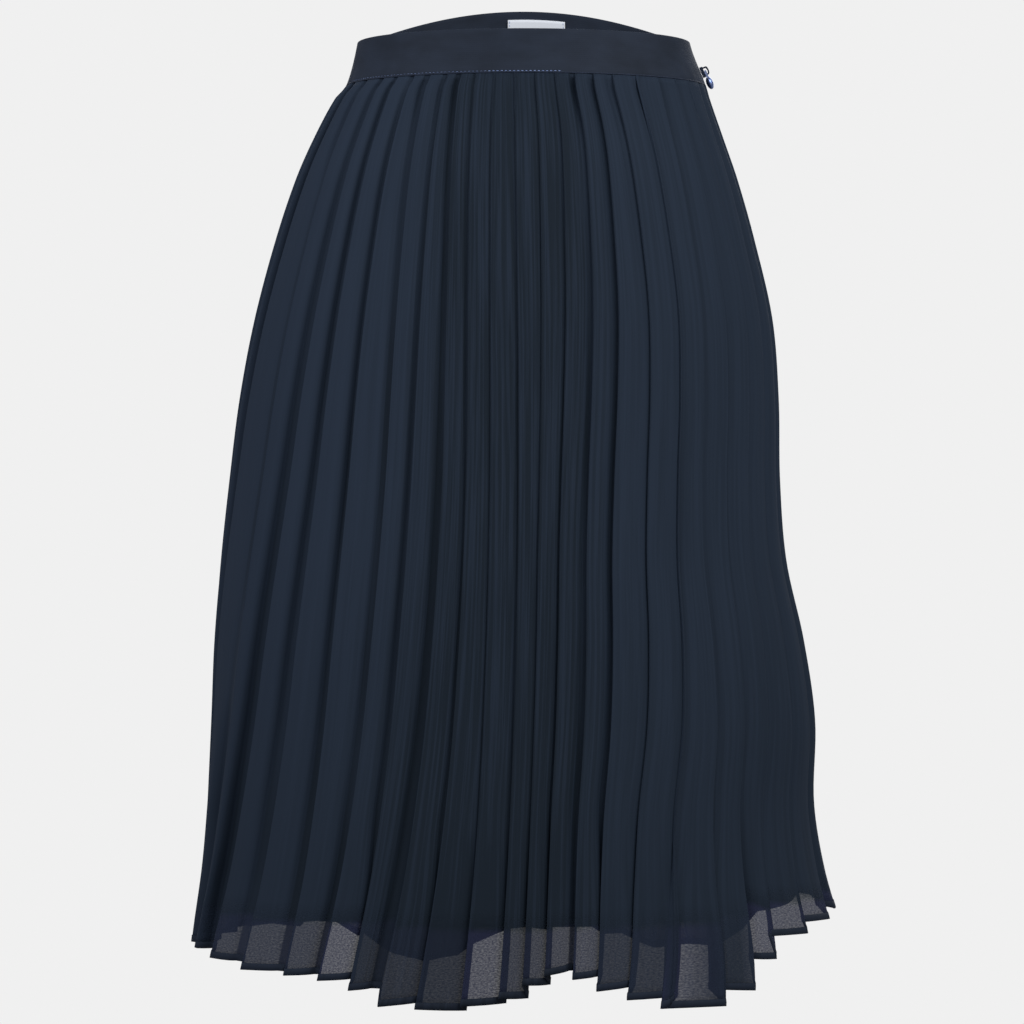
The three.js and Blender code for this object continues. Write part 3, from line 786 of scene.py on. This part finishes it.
class Hollow:
    """The cloth between two folds, with its own unevenness. gap is a row of FRONT_GAPS, or None."""

    def __init__(self, gap=None):
        self.gap = gap
        self.deeper = random.uniform(0.82, 1.04)
        self.wave = random.uniform(0.02, 0.08)
        self.phase = random.uniform(0, 2 * math.pi)
        self.cycles = random.uniform(1.2, 2.6)
        self.gather = random.uniform(-0.5, 1.0)
        if gap and gap[0] >= WIDE_GAP:
            self.gather += WIDE_GAP_GATHERS
        self.drift = random.uniform(-0.08, 0.08)
        self.bulge = random.uniform(0.2, 0.9)
        self.dip = random.uniform(-2.5, 3.5)
        self.face_curve = blend(LEAST_FACE_CURVE, FACE_CURVE, gap[KEEPS]) if gap else 1

    def depth(self, share, span, facing):
        leg = blend(LEG_AT_WAIST, LEG_AT_HEM, share**LEG_POWER)
        run = (span - FOLD_FLAT) / 2
        fits = math.sqrt(max(leg**2 - run**2, SHALLOWEST**2))
        wave = 1 + self.wave * math.sin(self.cycles * 2 * math.pi * share + self.phase)
        gathered = self.gather * GATHER_DEPTH * math.exp(-((share / GATHER_LENGTH) ** 2))
        gathered *= min(1, share / GATHER_STARTS)
        pressed = 1
        if self.gap:
            keeps = self.gap[KEEPS]
            pressed = blend(keeps, max(keeps, KEEPS_WHEN_TUCKED), tucking(share))
            pressed *= blend(1, PRESSED_FLAT, facing**2)
        room = deepest_at(share) + ROOM_AT_WAIST + ROOM_OF_EASE * LINING_EASE * share
        room += gather_room(share)
        return min(min(fits, deepest_at(share)) * self.deeper * wave * pressed + gathered, room)

    def place(self, share, before, after, out, depth, facing, side):
        """The hollow's two edges, as shares of the way between the folds, for a gap as wide as
        stated."""
        middle = 0.5 + self.drift * math.sin(math.pi * share + self.phase)
        across = after.x - before.x
        half = FOLD_FLAT / 2 / (after - before).length
        if self.gap is None or across <= 0:
            return middle - half, middle + half
        waist, knee, hem, tucked, _ = self.gap
        seen = min(through_three(waist, knee, hem, share), WIDEST_GAP * across)
        seen = blend(seen, -tucked, tucking(share))
        hidden = max(min(seen, UNDERCUT), FOLD_FLAT - seen)
        edges = (-seen, hidden) if side > 0 else (-hidden, seen)
        fold_x = after.x if side > 0 else before.x
        placed = clamp(GAP_FACING * (facing - SIDE_ON))
        alongs = [(fold_x + edge - before.x + out.x * depth) / across for edge in edges]
        if side > 0:
            alongs[0] = max(alongs[0], NEAREST_EDGE)
        else:
            alongs[1] = min(alongs[1], 1 - NEAREST_EDGE)
        return blend(middle - half, alongs[0], placed), blend(middle + half, alongs[1], placed)


def leg_points(fold, hollow, out, depth, power, bulge):
    """The cloth of one leg from its fold to the hollow, without its ends."""
    points = []
    for step in LEG_STEPS[1:-1]:
        bow = bulge * math.sin(math.pi * step) * LEG_BOW
        bow += depth * (step - step**power)
        points.append(fold.lerp(hollow, step) + out * bow)
    return points


def panel_section(first, folds, last, hollows, share):
    """One row of a panel's points, from its first seam to its last."""
    half = FOLD_FLAT / 2
    stops = [[edge_point(first, share, arc) for arc in (SEWN, SEAM_FLAT / 2, SEAM_FLAT)]]
    stops += [[edge_point(fold, share, arc) for arc in (-half, 0, half)] for fold in folds]
    stops.append([edge_point(last, share, -arc) for arc in (SEAM_FLAT, SEAM_FLAT / 2, SEWN)])
    all_folds = [first, *folds, last]
    row = list(stops[0])
    for i, hollow in enumerate(hollows):
        before = stops[i][-1]
        after = stops[i + 1][0]
        degrees = (fold_at(all_folds[i], share)[0] + fold_at(all_folds[i + 1], share)[0]) / 2
        _, out = ring_point(degrees, before.z)
        span = (after - before).length
        facing = max(0, math.cos(math.radians(degrees)))
        # A face runs from its outer fold to the hollow, whose hem takes that fold's height, so the hem
        # goes down in steps.
        side = 1 if i <= GAP_TURNS_AT and hollow.gap or degrees > 180 else -1
        depth = hollow.depth(share, span, facing)
        edges = hollow.place(share, before, after, out, depth, facing, side)
        bottom = []
        for t in (edges[0], (edges[0] + edges[1]) / 2, edges[1]):
            point = before.lerp(after, t) - out * depth
            height = blend(t, 0.5 - HOLLOW_LEANS * side, share)
            point.z = blend(before.z, after.z, height) + HOLLOW_LIFT * share
            point.z += hollow.dip * share**DIP_POWER
            bottom.append(point)
        bottom[1] -= out * FLOOR_SAG
        late = blend(1, hollow.face_curve, clamp(LATE_FACING * (facing - SIDE_ON)))
        powers = (late, 1) if side > 0 else (1, late)
        row += leg_points(before, bottom[0], out, depth, powers[0], hollow.bulge)
        row += bottom
        row += reversed(leg_points(after, bottom[-1], out, depth, powers[1], hollow.bulge))
        row += stops[i + 1]
    return row


ROLLED_HEM = 5
ROLLED_WALL = 1.3
ROLLED_OUT = -0.25  # most of the roll is inside
PANEL_LENGTH = 700
HEM_SHARES = (1 - ROLLED_HEM / PANEL_LENGTH, 1 - ROLLED_HEM / 2 / PANEL_LENGTH, 1.0006)


def panel_widths(pleats):
    """The flat width of each of a panel's columns."""
    leg = [LEG_AT_HEM * (b - a) for a, b in zip(LEG_STEPS, LEG_STEPS[1:])]
    floor = [GAP_FLOOR / 2] * 2
    edge = [FOLD_FLAT / 2] * 2
    seam = [SEAM_FLAT / 2] * 2
    hollow = leg + floor + leg[::-1]
    return seam + (hollow + edge) * (pleats - 1) + hollow + seam


def pleated_panel(name, node, material, first, folds, last, gaps=None):
    """A pleated panel and its rolled hem."""
    hollows = [Hollow(gaps[i] if gaps else None) for i in range(len(folds) + 1)]
    widths = panel_widths(len(hollows))

    def sheet_of(levels, uv_size):
        rows = [panel_section(first, folds, last, hollows, share) for share in levels]
        return cloth_grid(rows, uv_size, widths)

    cloth = finish_piece(sheet_of(shares(PANEL_ROWS, ROWS_CLOSE_UP), CUT), name, material)
    thicken(cloth, CLOTH)
    hem = finish_piece(sheet_of(HEM_SHARES, (CUT[0], ROLLED_HEM * MM)), name + "_hem", ROLLED)
    thicken(hem, ROLLED_WALL, ROLLED_OUT)
    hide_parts(node)
    return cloth, hem


front, front_hem = pleated_panel(
    "pleats_front", "front_panel", FRONT_CHIFFON, PLAIN_SEAM, FRONT_FOLDS, ZIP_SEAM, FRONT_GAPS
)
back, back_hem = pleated_panel(
    "pleats_back", "back_panel", BACK_CHIFFON, ZIP_SEAM, back_folds(), PLAIN_SEAM_FROM_BACK
)

# Smooth pieces: rows of points that follow the outline, moved in from it


def strip(start, end, steps, levels, inset, height):
    rows = []
    for share in levels:
        row = []
        for i in range(steps + 1):
            degrees = blend(start(share), end(share), i / steps)
            z = height(degrees, share)
            point, out = ring_point(degrees, z)
            row.append(point - out * inset(degrees, share))
        rows.append(row)
    return rows


BAND_STEPS = 240
BAND_UV = (0.72, 0.035)
BAND_INSET = 0.25
PUCKER, PUCKERS_ROUND = 0.25, 46
SOFT_WAVE, SOFT_WAVES_ROUND = 0.35, 5
FLAT_BY_ZIP = 20  # degrees from the zip
BAND_BEVEL = 0.9


def waistband():
    """The flat band. Where the pleats are sewn on, its foot is drawn in a little between the stitches.
    It is flat under the slider."""
    half = degrees_of(BAND_OPENING / 2, RIGHT, 0)

    def inset(degrees, share):
        turn = math.radians(degrees)
        pucker = PUCKER * math.sin(turn * PUCKERS_ROUND) * share**3
        soft = SOFT_WAVE * math.sin(turn * SOFT_WAVES_ROUND + 1) * math.sin(math.pi * share)
        from_zip = min(RIGHT - degrees, degrees - RIGHT + 360)
        return 0.05 + (BAND_INSET + pucker + soft) * clamp(from_zip / FLAT_BY_ZIP)

    def height(degrees, share):
        return blend(band_top(degrees), band_foot(degrees), share)

    rows = strip(
        lambda _: RIGHT - 360 + half,
        lambda _: RIGHT - half,
        BAND_STEPS,
        shares(10),
        inset,
        height,
    )
    band = finish_piece(cloth_grid(rows, BAND_UV), "waistband_cloth", BAND)
    thicken(band, BAND_WALL - 0.6)
    edge = band.modifiers.new("folded edges", "BEVEL")
    edge.width = BAND_BEVEL * MM
    edge.segments = 3
    edge.limit_method = "ANGLE"
    edge.angle_limit = math.radians(50)
    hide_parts("waistband")
    return band


band = waistband()


def seam_edge():
    """The narrow turned edge along the band's foot, where the pleats are sewn on."""
    half = degrees_of(BAND_OPENING / 2 + 0.5, RIGHT, 0)
    rows = strip(
        lambda _: RIGHT - 360 + half,
        lambda _: RIGHT - half,
        BAND_STEPS,
        (0.0, 0.5, 1.0),
        lambda _, share: 0.2 - 0.25 * math.sin(math.pi * share),
        lambda degrees, share: band_foot(degrees) + 0.9 - share,
    )
    piece = finish_piece(cloth_grid(rows, (BAND_UV[0], 0.001)), "band_seam_edge", NAVY_THREAD)
    thicken(piece, 0.5)
    return piece


seam = seam_edge()


STITCH_HIGH = 0.3  # half of its height
FULL_STITCH, THIN_STITCH = 0.64, 0.26  # how wide a stitch shows


def stitches(name, places):
    """Pale stitches, each a short plump thread. places are its middle, way along, way out, length and
    width."""
    mesh = bmesh.new()
    for middle, along, out, length, width in places:
        made = bmesh.ops.create_icosphere(mesh, subdivisions=1, radius=1.0)
        across = out.cross(along).normalized()
        turn = Matrix((along * length / 2, across * width / 2, out * STITCH_HIGH)).transposed()
        for vertex in made["verts"]:
            vertex.co = (turn @ vertex.co + middle) * MM
    return finish_piece(mesh, name, PALE_THREAD)


SEAM_STITCHES_START, SEAM_STITCHES_END = -74, 11.5  # degrees
THIN_UP_TO, FULL_FROM = -13, -10
STITCHES_UP = 1.5
SEAM_STITCH, SEAM_STITCH_PITCH = 2.3, 3.2


def seam_stitches():
    """The row of light stitches along the seam. It shows in full in the middle of the front, and as a
    thin line from there to the wearer's right."""
    places = []
    degrees = SEAM_STITCHES_START
    while degrees < SEAM_STITCHES_END:
        z = band_foot(degrees) + STITCHES_UP
        point, out = ring_point(degrees, z)
        ahead, _ = ring_point(degrees + 0.5, z)
        full = clamp((degrees - THIN_UP_TO) / (FULL_FROM - THIN_UP_TO))
        width = blend(THIN_STITCH, FULL_STITCH, full)
        places.append((point - out * 0.15, (ahead - point).normalized(), out, SEAM_STITCH, width))
        degrees += degrees_of(SEAM_STITCH_PITCH, degrees, z)
    piece = stitches("band_stitches", places)
    return piece


row_of_stitches = seam_stitches()


LINING_SLACK = 3.5
TROUGHS_ROUND = 9


def lining_inset(degrees, share):
    if share <= 0:
        return BAND_WALL + SEAM_GAP
    ease = LINING_CLEAR + LINING_EASE * share
    # Soft troughs of the slack cloth, wider and deeper towards the hem
    trough = math.sin(math.radians(degrees) * TROUGHS_ROUND + 1.3) * math.sin(1.7 * share + 0.4)
    slack = LINING_SLACK * share * (1 + trough)
    return CAD_CLOTH + deepest_at(share) + ease + slack + gather_room(share)


LINING_FLAT = (0.61, 0.65)
LINING_ROWS, LINING_STEPS = 40, 110
LINING_LEVELS = [-0.001, 0.0]
LINING_LEVELS += [blend(0.01, LINING_LENGTH_SHARE, share) for share in shares(LINING_ROWS)]
ZIP_END_SHARE = 0.25


def stand_back(side, share):
    if side == RIGHT and share < ZIP_END_SHARE:
        return TAPE_WIDTH / 2 + 2 * SEAM_GAP
    return SEAM_GAP / 2


def lining(name, node, start, end):
    def edge(side, share):
        return degrees_of(stand_back(side, share), side, lining_height(side, share))

    rows = strip(
        lambda share: start + edge(start, share),
        lambda share: end - edge(end, share),
        LINING_STEPS,
        LINING_LEVELS,
        lining_inset,
        lining_height,
    )
    cloth = finish_piece(cloth_grid(rows, LINING_FLAT), name, LINING)
    thicken(cloth, LINING_WALL)
    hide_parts(node)
    return cloth


lining_front = lining("lining_front_cloth", "lining_front", LEFT, RIGHT)
lining_back = lining("lining_back_cloth", "lining_back", RIGHT, 270)

LABEL_WIDTH, LABEL_HEIGHT, LABEL_BELOW_TOP, LABEL_DEGREES = 48, 18, 7, 175
LABEL_FLAT = (0.048, 0.018)
LABEL_WALL = 0.6


def label():
    """The bare label, drawn as a plain strip; its turned-under ends are not drawn."""
    reach = degrees_of(LABEL_WIDTH / 2, LABEL_DEGREES, band_top(LABEL_DEGREES))
    rows = strip(
        lambda _: LABEL_DEGREES - reach,
        lambda _: LABEL_DEGREES + reach,
        32,
        shares(8),
        lambda degrees, share: BAND_WALL + SEAM_GAP + 0.25 * math.sin(math.pi * share),
        lambda degrees, share: band_top(degrees) - LABEL_BELOW_TOP - LABEL_HEIGHT * share,
    )
    cloth = finish_piece(cloth_grid(rows, LABEL_FLAT), "label_cloth", LABEL_TAPE)
    thicken(cloth, LABEL_WALL)
    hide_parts("label")
    return cloth


label_piece = label()


LABEL_STITCHES, LABEL_STITCH, LABEL_STITCH_PITCH = 6, 2, 2.8
LABEL_STITCH_IN = 1.5  # from the label's end
LABEL_STITCHES_START = 2  # below its top


def label_stitches():
    """The two short rows of stitches that hold the label's ends."""
    places = []
    up = Vector((0, 0, 1))
    deep = BAND_WALL + SEAM_GAP + LABEL_WALL + 0.1
    reach = degrees_of(LABEL_WIDTH / 2 - LABEL_STITCH_IN, LABEL_DEGREES, band_top(LABEL_DEGREES))
    for degrees in (LABEL_DEGREES - reach, LABEL_DEGREES + reach):
        for i in range(LABEL_STITCHES):
            z = band_top(degrees) - LABEL_BELOW_TOP - LABEL_STITCHES_START - i * LABEL_STITCH_PITCH
            point, out = ring_point(degrees, z)
            places.append((point - out * deep, up, out, LABEL_STITCH, FULL_STITCH))
    piece = stitches("label_stitches", places)
    return piece


label_thread = label_stitches()


TAPE_FLAT = (0.024, 0.19)
TAPE_WALL = 0.6
TAPE_TOP = 1  # its height at the top, behind the band
TAPE_LEVELS = (0.0, 0.03, 0.08, 0.115, 0.15, 0.2, 0.24)  # of the panel's length, below its top
TAPE_STEPS = 12


def zip_tape():
    """The zip's tape behind the side seam."""
    seam_at = [fold_at(ZIP_SEAM, share) for share in TAPE_LEVELS]
    places = [(seam_at[0][0], TAPE_TOP, BAND_WALL), (*seam_at[0], BAND_WALL)]
    places += [(*place, CAD_CLOTH) for place in seam_at[1:]]
    rows = []
    for degrees, height, wall in places:
        row = []
        for along in shares(TAPE_STEPS):
            turn = degrees_of((along - 0.5) * TAPE_WIDTH, degrees, height)
            point, out = ring_point(degrees + turn, height)
            row.append(point - out * (wall + 2 * SEAM_GAP))
        rows.append(row)
    cloth = finish_piece(cloth_grid(rows, TAPE_FLAT), "zip_tape_cloth", ZIP_TAPE)
    thicken(cloth, TAPE_WALL)
    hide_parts("zip_tape")
    return cloth


tape = zip_tape()

for node, material in (
    ("zip_slider", NICKEL),
    ("zip_pull", BLUE_NICKEL),
    ("band_hook", NICKEL),
    ("band_eye", NICKEL),
):
    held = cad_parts[node]
    held.data.materials.clear()
    held.data.materials.append(material)

# Studio: a pale surround, and broad soft light from both sides of the front, more of it from the right

PALE = linear("#F0F0F0")
SEEN_STRENGTH, LIT_STRENGTH = 1.0, 0.34


def studio():
    world = bpy.data.worlds.new("pale studio")
    bpy.context.scene.world = world
    world.use_nodes = True
    tree = world.node_tree
    tree.nodes.clear()
    seen = add_node(tree, "ShaderNodeBackground", {"Color": PALE, "Strength": SEEN_STRENGTH})
    lit = add_node(tree, "ShaderNodeBackground", {"Color": PALE, "Strength": LIT_STRENGTH})
    path = add_node(tree, "ShaderNodeLightPath")
    mix = add_node(
        tree,
        "ShaderNodeMixShader",
        None,
        {0: path.outputs["Is Camera Ray"], 1: lit.outputs[0], 2: seen.outputs[0]},
    )
    add_node(tree, "ShaderNodeOutputWorld", None, {"Surface": mix.outputs[0]})


LIGHTS_AIM = Vector((0, 0, -0.1))


def area_light(name, place, size, power, colour):
    """A broad lamp at a place in metres, aimed at the top of the skirt. Its power is in watts."""
    lamp = bpy.data.lights.new(name, "AREA")
    lamp.shape = "RECTANGLE"
    lamp.size, lamp.size_y = size
    lamp.energy = power
    lamp.color = linear(colour)[:3]
    light = bpy.data.objects.new(name, lamp)
    light.location = place
    light.rotation_euler = (LIGHTS_AIM - Vector(place)).to_track_quat("-Z", "Y").to_euler()
    bpy.context.scene.collection.objects.link(light)


studio()
area_light("key, front right", (1.5, -1.9, 1.5), (2.2, 1.8), 57, "#FFFFFF")
area_light("fill, front left", (-2.2, -1.7, 1.2), (1.4, 1.8), 41, "#F6F8FF")
area_light("behind", (0.4, 2.6, 1.0), (2.6, 2.0), 36, "#FFFFFF")

bpy.context.scene.view_settings.view_transform = "Standard"
bpy.context.scene.view_settings.look = "None"
